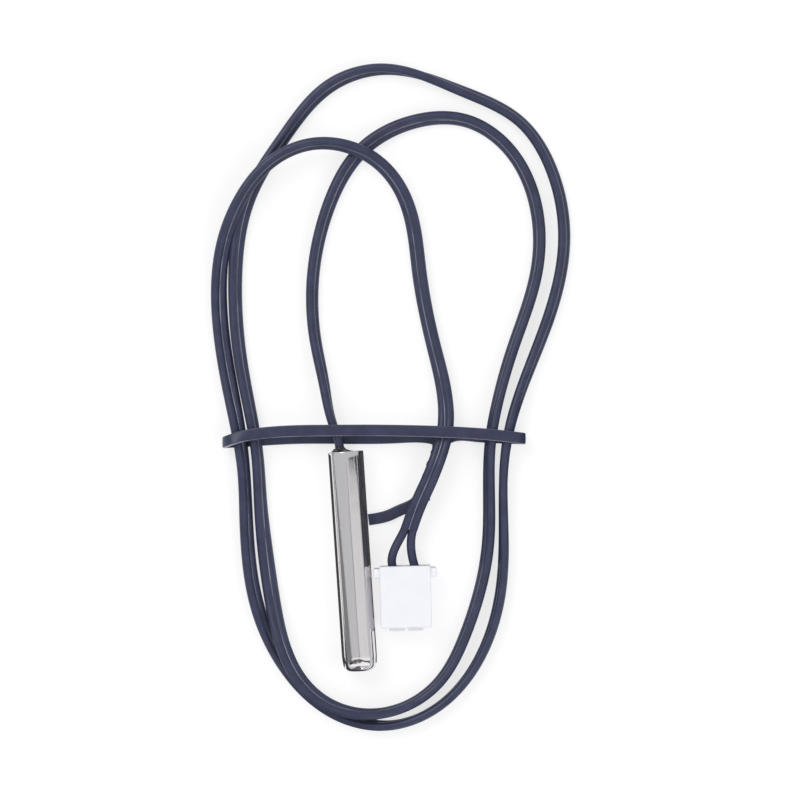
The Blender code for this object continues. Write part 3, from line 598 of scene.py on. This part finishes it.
# Millimetres in the tie's own frame: the loop, the axis that its ends twist about, and the ends
TIE_PLACE = np.array((3.3, 13.5, 0.0))
TIE_TURN = math.radians(-3.9)
TIE_SPAN_POINTS = 24
TIE_STEP = 0.12
TWIST_TURNS = 1.5
TWIST_STEPS = 72
TWIST_START = np.array((7.2, -1.9, 0.9))
TWIST_END = np.array((5.7, -6.1, 0.9))
TIE_LOOP = (
    (7.2, -0.62, 0.36), (5.9, -0.14, 0.29), (3.0, -0.16, 0.27), (-3.0, -0.25, 0.26), (-10.0, -0.3, 0.26),
    (-14.9, -0.6, 0.28), (-16.6, -0.7, 0.72), (-16.98, -0.7, 1.65), (-16.5, -0.5, 2.62),
    (-15.3, -0.1, 2.98), (-13.6, 0.25, 3.06), (-10.0, 0.58, 3.15), (-5.0, 0.68, 3.22), (2.0, 0.68, 3.25),
    (8.0, 0.52, 3.2), (12.6, 0.26, 3.08), (15.2, 0.0, 2.98), (16.6, -0.17, 2.6), (17.05, -0.25, 1.65),
    (16.65, -0.25, 0.7), (15.0, -0.2, 0.27), (11.5, 0.0, 0.27), (9.3, 0.05, 0.4), (7.9, -0.7, 0.95),
)
LONG_END = ((4.7, -7.6, 0.7), (3.0, -8.45, 0.3), (1.7, -9.05, 0.26), (-0.6, -9.55, 0.26))
SHORT_END = ((5.74, -6.8, 0.45), (5.78, -7.35, 0.33))
# Within this reach of its middle the loop's ribbon lies level, and beyond it turns round its ends
LOOP_FLAT = 15.2
TIE_HALF_WIDTH = 0.65
TIE_HALF_THICK = 0.25
TWIST_RADIUS = TIE_HALF_THICK + 0.05
# The ribbon's rounded edges, and the low ridge over its wire
TIE_EDGE = 0.17
EDGE_STEPS = 5
RIDGE_HEIGHT = 0.012
RIDGE_WIDTH = 0.2
RIDGE_STEPS = 8
# Painted highlights along the edges: a pale narrow line on each where glints fall, and less so on the second
# edge
EDGE_GLINT_WIDTH = 0.05
EDGE_GLINT_LESS = 0.3
# Creases across the top run, as places along the tie's own X and their spread
CREASES = ((12.3, 0.9), (-8.1, 0.5), (9.6, 0.4))
CREASE_HEIGHT = 0.02
CREASE_RATE = 14
TOP_RUN_Z = 2.5
# The ribbon's width varies by this share
WAVE = 0.012
WAVE_RATE = 0.05
WAVE_ROW = 7.7


def twisted_layer(start_angle):
    """(point, direction out of the twist) pairs down the twist, for the layer that starts at this angle."""
    axis = unit(TWIST_END - TWIST_START)
    level = unit(np.array((axis[1], -axis[0], 0)))
    above = unit(np.cross(level, axis))
    if above[2] < 0:
        above = -above
    level = np.cross(axis, above)
    found = []
    for share in np.arange(TWIST_STEPS + 1) / TWIST_STEPS:
        angle = start_angle + math.tau * TWIST_TURNS * share
        out = above * math.cos(angle) + level * math.sin(angle)
        found.append((TWIST_START + (TWIST_END - TWIST_START) * share + out * TWIST_RADIUS, out))
    return found


def tie_stations():
    """(point, thin direction) pairs along the tie, from the tip of its long end to that of its short end."""
    lower = twisted_layer(math.pi)
    upper = twisted_layer(0)
    inside = np.mean(np.array(TIE_LOOP), axis=0)

    def run(places):
        return evenly(spline(places, TIE_SPAN_POINTS), TIE_STEP)

    def outward(point):
        flat = np.array((point[0] - inside[0], 0, point[2] - inside[2]))
        if abs(flat[0]) < LOOP_FLAT:
            return np.array((0, 0, math.copysign(1, flat[2])))
        return unit(flat - np.array((math.copysign(LOOP_FLAT, flat[0]), 0, 0)))

    long_end = run([*reversed(LONG_END), lower[-1][0]])
    loop = run([lower[0][0], *TIE_LOOP, upper[0][0]])
    short_end = run([upper[-1][0], *SHORT_END])
    stations = [(point, lower[-1][1]) for point in long_end[:-1]]
    stations += reversed(lower)
    stations += [(point, outward(point)) for point in loop[1:-1]]
    stations += [(point, -out) for point, out in upper]
    stations += [(point, -upper[-1][1]) for point in short_end[1:]]
    return stations


def tie_section():
    """(across, up) points round the flat ribbon, a little fuller along the middle where its wire runs."""
    half = TIE_HALF_WIDTH - TIE_EDGE
    thin = TIE_HALF_THICK - TIE_EDGE
    found = []
    for side, turn in ((1, 0), (-1, 180)):
        found += arc((side * half, side * thin), TIE_EDGE, turn, turn + 90, EDGE_STEPS)
        for across in np.linspace(side * half, -side * half, RIDGE_STEPS + 1)[1:-1]:
            ridge = RIDGE_HEIGHT * math.exp(-((across / RIDGE_WIDTH) ** 2))
            found.append((across, side * (TIE_HALF_THICK + ridge)))
        found += arc((-side * half, side * thin), TIE_EDGE, turn + 90, turn + 180, EDGE_STEPS)
    return found


def crease(point):
    """How far the ribbon's upper face is raised, where its top run was once folded."""
    raised = 0.0
    if point[2] > TOP_RUN_Z:
        for centre, spread in CREASES:
            near = math.exp(-(((point[0] - centre) / spread) ** 2))
            raised += CREASE_HEIGHT * near * math.sin(point[0] * CREASE_RATE)
    return raised


def make_tie(finish):
    """The ribbon along its stations, each ring a section across it."""
    stations = tie_stations()
    along = directions(np.array([point for point, _ in stations]))
    section = tie_section()
    # A painted highlight along the ribbon's edges, carried by the glint mask
    painted_edge_glint = []
    for across, _ in section:
        line = math.exp(-(((TIE_HALF_WIDTH - abs(across)) / EDGE_GLINT_WIDTH) ** 2))
        painted_edge_glint.append(line if across > 0 else EDGE_GLINT_LESS * line)
    spin = Matrix.Rotation(TIE_TURN, 3, "Z")
    rings = []
    for i, ((point, thin_way), way) in enumerate(zip(stations, along)):
        up = unit(thin_way - way * way.dot(thin_way))
        across = np.cross(way, up)
        wave = 1 + WAVE * noise.noise(Vector((i * WAVE_RATE, WAVE_ROW, 0)))
        raised = crease(point)
        ring = []
        for a, b in section:
            place = point + across * a * wave + up * (b + (raised if b > 0 else 0))
            ring.append((np.array(spin @ Vector(place)) + TIE_PLACE) * MM)
        rings.append(ring)
    add("wire_tie", skin("wire_tie", rings, angle=60, glint_mask=painted_edge_glint), finish, "cable_tie")


# Floor, world, lamps and boards

WHITE = (1, 1, 1)
FLOOR_HALF = 3.0
FLOOR_COLOUR = (0.34, 0.34, 0.345)
FLOOR_GLOW = 0.715
# The floor as other surfaces are lit by it
FLOOR_GREY = (0.8, 0.8, 0.8)
WORLD_COLOUR = (0.97, 0.98, 1.0)
WORLD_STRENGTH = 0.62
# Lamps: name, place and size in metres, power, and whether reflections show it
LAMPS = (
    ("key", (-0.25, 0.35, 0.5), (0.35, 0.35), 1.4, True),
    ("fill", (0.35, -0.25, 0.45), (0.35, 0.35), 0.75, False),
    ("front", (0.01, -0.45, 0.21), (0.25, 0.02), 0.22, True),
)
LAMP_TARGET = Vector((0.006, 0.015, 0))
# Boards that only reflections show: name, grey, corners in millimetres. On the sleeve they give the grey band
# on its left, the dark lines along both edges, the dark stripe on its right with two paler slits, the dark
# marks at its tip and the thin line down its middle.
BOARDS = (
    ("board_left", 0.24, ((-75, -30, 0), (-75, -30, 80), (-75, -16, 60), (-75, -12, 50), (-75, -3.4, 37),
                          (-75, 4.6, 19), (-75, 9.9, 7), (-75, 30, 6), (-75, 30, 0))),
    ("board_left_low", 0.06, ((-7.6, -13, 0.1), (-2.1, -13, 0.1), (-2.1, 12, 0.1), (-7.6, 12, 0.1))),
    ("board_left_strip", 1.0, ((-7.6, -13, 0.1), (-7.6, 13, 0.1), (-7.6, 13, 1.9), (-7.6, -13, 1.9))),
    ("board_right", 0.05, ((70, -6, 0), (70, -6, 22), (70, 4, 24), (70, 7.2, 30), (70, 8.6, 50),
                           (70, 9.2, 96), (70, 8.6, 180), (70, 7.7, 262), (70, 16, 262), (70, 16, 0))),
    ("board_right_low", 0.07, ((2.1, -1.2, 0.1), (70, -4, 0.1), (70, 16, 0.1), (2.1, 16, 0.1))),
    ("board_gap", 0.08, ((2.7, -12.4, 0), (2.7, -1.2, 0), (2.7, -1.2, 1.9), (2.7, -12.4, 1.9))),
    ("board_slit_high", 0.8, ((68, 8.6, 53), (68, 16, 49), (68, 16, 55), (68, 8.6, 59))),
    ("board_slit_low", 0.7, ((68, 6.5, 18), (68, 16, 18), (68, 16, 23), (68, 6.5, 23))),
    ("board_front_low", 0.12, ((-12, -14.3, 0.1), (1.5, -14.3, 0.1), (4, -60, 0.1), (-40, -60, 0.1))),
    ("board_front", 0.14, ((-40, -60, 0), (4, -60, 0), (4, -60, 110), (-40, -60, 110))),
    ("board_line", 0.3, ((-6, -160, 300), (14, -160, 300), (14, 3, 300), (-6, 3, 300))),
    ("board_roof", 0.77, ((6, -160, 302), (700, -160, 302), (700, -8, 302), (6, 3, 302))),
)
# Curved boards about the sleeve's tip: name, grey, and how far their two edges lean to the front, in degrees
BANDS = (("band_near", 1.1, 8.8, 12.2), ("band_strip", 0.0, 12.2, 16.4), ("band_far", 1.1, 16.4, 24))
BAND_RADIUS = 300.0
BAND_REACH = 75.0
BAND_STEPS = 24


def surface(tree, kind, colour, strength=None):
    """The output of a new shader of one colour, and of one strength if it glows."""
    made = tree.nodes.new(kind)
    made.inputs["Color"].default_value = (*colour, 1)
    if strength is not None:
        made.inputs["Strength"].default_value = strength
    return made.outputs[0]


def joined(tree, kind, *sources):
    """The output of a new node whose first inputs are the sources."""
    made = tree.nodes.new(kind)
    for source, socket in zip(sources, made.inputs):
        tree.links.new(source, socket)
    return made.outputs[0]


def stage_piece(name, mesh, shade):
    """An object of the stage, whose material shade(tree) works out."""
    material = bpy.data.materials.new(name)
    material.use_nodes = True
    tree = material.node_tree
    tree.nodes.clear()
    out = tree.nodes.new("ShaderNodeOutputMaterial")
    tree.links.new(shade(tree), out.inputs[0])
    mesh.materials.append(material)
    made = bpy.data.objects.new(name, mesh)
    bpy.context.scene.collection.objects.link(made)
    return made


def floor_shade(tree):
    """White to the camera and in reflections, with the part's shadow, and a plain grey to all other rays."""
    lit = surface(tree, "ShaderNodeBsdfDiffuse", FLOOR_COLOUR)
    glow = surface(tree, "ShaderNodeEmission", WHITE, FLOOR_GLOW)
    white = joined(tree, "ShaderNodeAddShader", lit, glow)
    grey = surface(tree, "ShaderNodeBsdfDiffuse", FLOOR_GREY)
    rays = tree.nodes.new("ShaderNodeLightPath")
    seen = rays.outputs["Is Camera Ray"]
    for kind in ("Is Glossy Ray", "Is Transmission Ray"):
        either = tree.nodes.new("ShaderNodeMath")
        either.operation = "MAXIMUM"
        tree.links.new(seen, either.inputs[0])
        tree.links.new(rays.outputs[kind], either.inputs[1])
        seen = either.outputs[0]
    return joined(tree, "ShaderNodeMixShader", seen, grey, white)


def make_floor():
    bm = bmesh.new()
    bmesh.ops.create_grid(bm, x_segments=1, y_segments=1, size=FLOOR_HALF)
    mesh = bpy.data.meshes.new("floor")
    bm.to_mesh(mesh)
    bm.free()
    stage_piece("floor", mesh, floor_shade)


def make_world():
    """A soft pale light from all round, and white where the camera looks past the floor."""
    world = bpy.data.worlds.new("studio")
    bpy.context.scene.world = world
    world.use_nodes = True
    tree = world.node_tree
    tree.nodes.remove(tree.nodes["Background"])
    light = surface(tree, "ShaderNodeBackground", WORLD_COLOUR, WORLD_STRENGTH)
    white = surface(tree, "ShaderNodeBackground", WHITE, 1.0)
    rays = tree.nodes.new("ShaderNodeLightPath")
    mix = joined(tree, "ShaderNodeMixShader", rays.outputs["Is Camera Ray"], light, white)
    tree.links.new(mix, tree.nodes["World Output"].inputs[0])


def make_lamps():
    for name, place, size, power, in_reflections in LAMPS:
        data = bpy.data.lights.new(name, "AREA")
        data.shape = "RECTANGLE"
        data.size, data.size_y = size
        data.energy = power
        made = bpy.data.objects.new(name, data)
        made.location = place
        made.rotation_euler = (LAMP_TARGET - Vector(place)).to_track_quat("-Z", "Y").to_euler()
        made.visible_glossy = in_reflections
        bpy.context.scene.collection.objects.link(made)


def board(name, grey, places, faces):
    """A glowing stage board of one grey that neither the camera nor any ray but a reflection finds."""
    mesh = bpy.data.meshes.new(name)
    mesh.from_pydata([Vector(place) * MM for place in places], [], faces)

    def shade(tree):
        return surface(tree, "ShaderNodeEmission", [min(grey, 1)] * 3, max(grey, 1))

    made = stage_piece(name, mesh, shade)
    made.visible_camera = False
    made.visible_diffuse = False
    made.visible_shadow = False
    made.visible_transmission = False


def make_boards():
    for name, grey, corners in BOARDS:
        board(name, grey, corners, [list(range(len(corners)))])
    for name, grey, *edges in BANDS:
        places = []
        for turn in np.radians(np.linspace(-BAND_REACH, BAND_REACH, BAND_STEPS + 1)):
            for edge in np.radians(edges):
                across = BAND_RADIUS * math.cos(edge)
                front = TIP_Y - BAND_RADIUS * math.sin(edge)
                places.append((across * math.sin(turn), front, across * math.cos(turn)))
        faces = [(2 * k, 2 * k + 1, 2 * k + 3, 2 * k + 2) for k in range(BAND_STEPS)]
        board(name, grey, places, faces)


bpy.context.scene.view_settings.view_transform = "Standard"
make_camera()
make_floor()
make_world()
make_boards()
make_lamps()

# The third colour is a painted highlight: the pale line in the lead's groove
PVC = pvc("cable_pvc", (0.036, 0.042, 0.087), (0.42, 0.44, 0.54), 0.36)
STEEL = steel("sleeve_steel")
NYLON = nylon("white_nylon")
RESIN = plain("potting_resin_black", (0.010, 0.010, 0.015), (0.022, 0.022, 0.032), 0.3, bump=0.0012 * MM)
# The tie's third colour is a painted highlight along its edges
TIE = pvc("tie_pvc", (0.034, 0.039, 0.083), (0.42, 0.42, 0.48), 0.33)
COPPER = plain("bare_copper", (0.62, 0.28, 0.15), (0.80, 0.42, 0.26), 0.28, 1.0, size=0.2 * MM)
TIN = plain("tinned_wire", (0.62, 0.61, 0.58), (0.78, 0.77, 0.74), 0.25, 1.0, size=0.2 * MM)
SOLDER = plain("solder", (0.55, 0.55, 0.53), (0.72, 0.72, 0.70), 0.3, 1.0, size=0.3 * MM)
BRONZE = plain("tinned_bronze", (0.66, 0.64, 0.58), (0.80, 0.78, 0.72), 0.27, 1.0, size=0.3 * MM)
GLASS = plain("bead_coating", (0.010, 0.010, 0.013), (0.035, 0.035, 0.045), 0.15)
TUBING = plain("joint_tubing", (0.68, 0.65, 0.55), (0.80, 0.77, 0.68), 0.5)

# Solids that keep their own shape and get a finish
CARRIED = {
    "thermistor_bead": GLASS,
    "bead_lead_a": TIN, "bead_lead_b": TIN, "solder_joint_a": SOLDER, "solder_joint_b": SOLDER,
    "sleeve_strands_a": COPPER, "sleeve_strands_b": COPPER, "sleeve_core_a": PVC, "sleeve_core_b": PVC,
    "joint_tube_a": TUBING, "joint_tube_b": TUBING,
    "plug_strands_a": COPPER, "plug_strands_b": COPPER, "plug_housing": NYLON,
    "crimp_terminal_a": BRONZE, "crimp_terminal_b": BRONZE,
}
for node, finish in CARRIED.items():
    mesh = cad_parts[node].data
    mesh.materials.clear()
    mesh.materials.append(finish)

lead, lead_path, lead_rolls = make_cable(PVC)
make_cores(PVC, lead_path / MM)
make_sleeve(STEEL)
make_potting(RESIN, lead_path / MM, lead_rolls)
make_tie(TIE)
